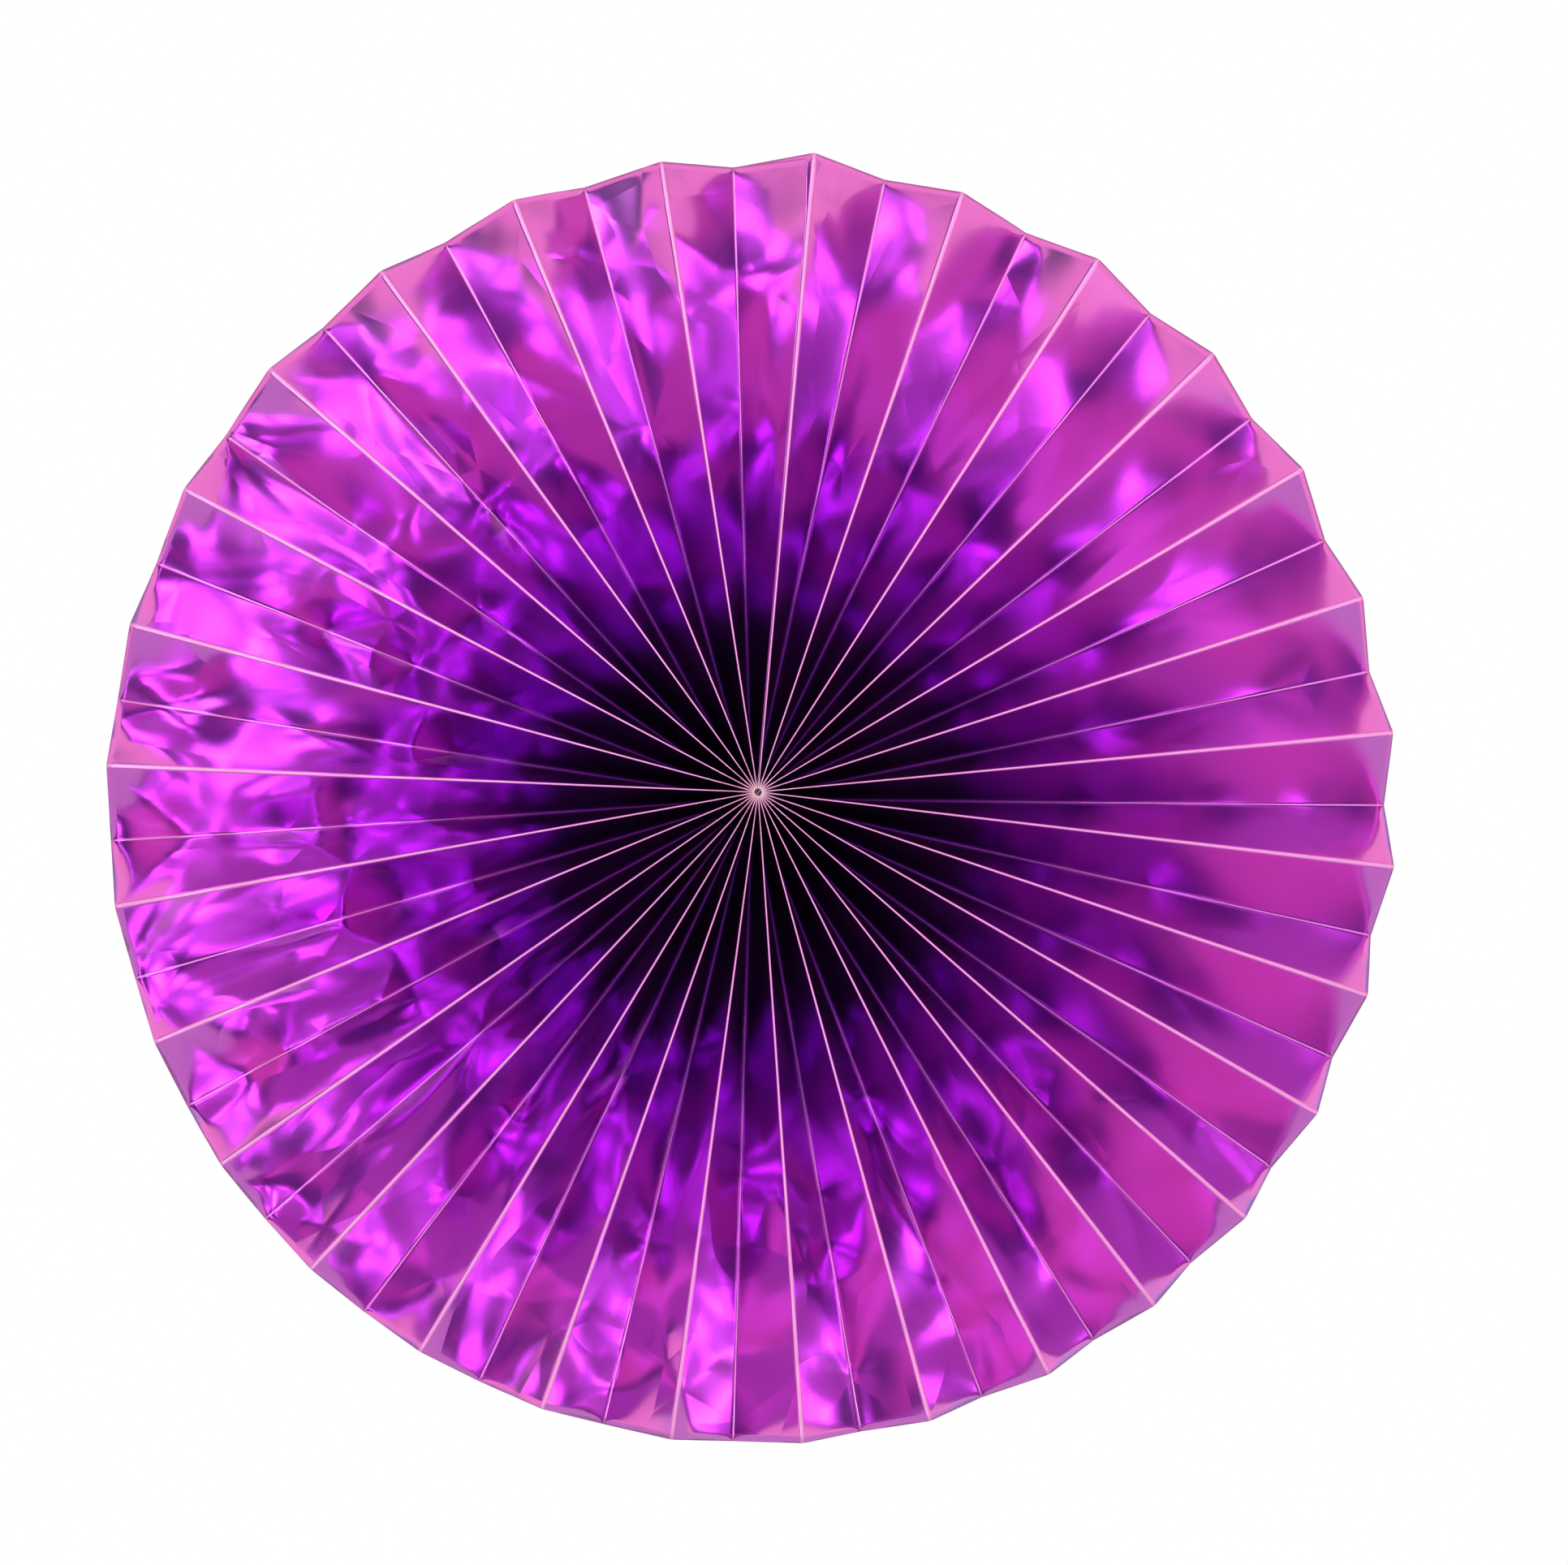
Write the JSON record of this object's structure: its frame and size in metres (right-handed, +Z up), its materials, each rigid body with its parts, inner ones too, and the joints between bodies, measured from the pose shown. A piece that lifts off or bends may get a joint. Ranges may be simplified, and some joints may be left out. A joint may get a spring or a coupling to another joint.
{
  "type": "paper fan rosette",
  "caption": "Round rosette of shiny foil paper, a strip folded in even pleats, opened to a full circle and gathered at its centre, for hanging as a party decoration.",
  "frame": {"origin": "middle of the back of the gathered centre, where the rosette is held to a wall or hung", "axes": "+Z up with the seam of the strip at the top, -Y towards the viewer along the axis of the rosette, +X to the viewer's right"},
  "size_m": [0.4022, 0.0301, 0.4051],
  "materials": {
    "foil_paper": "metallised, mirror-like, purple and magenta",
    "clear_tape": "clear film with adhesive on both faces",
    "thread": "plain cotton thread"
  },
  "bodies": {
    "root": {"pleated_strip": "foil_paper", "seam_tape": "clear_tape", "tie_thread": "thread"}
  },
  "joints": []
}
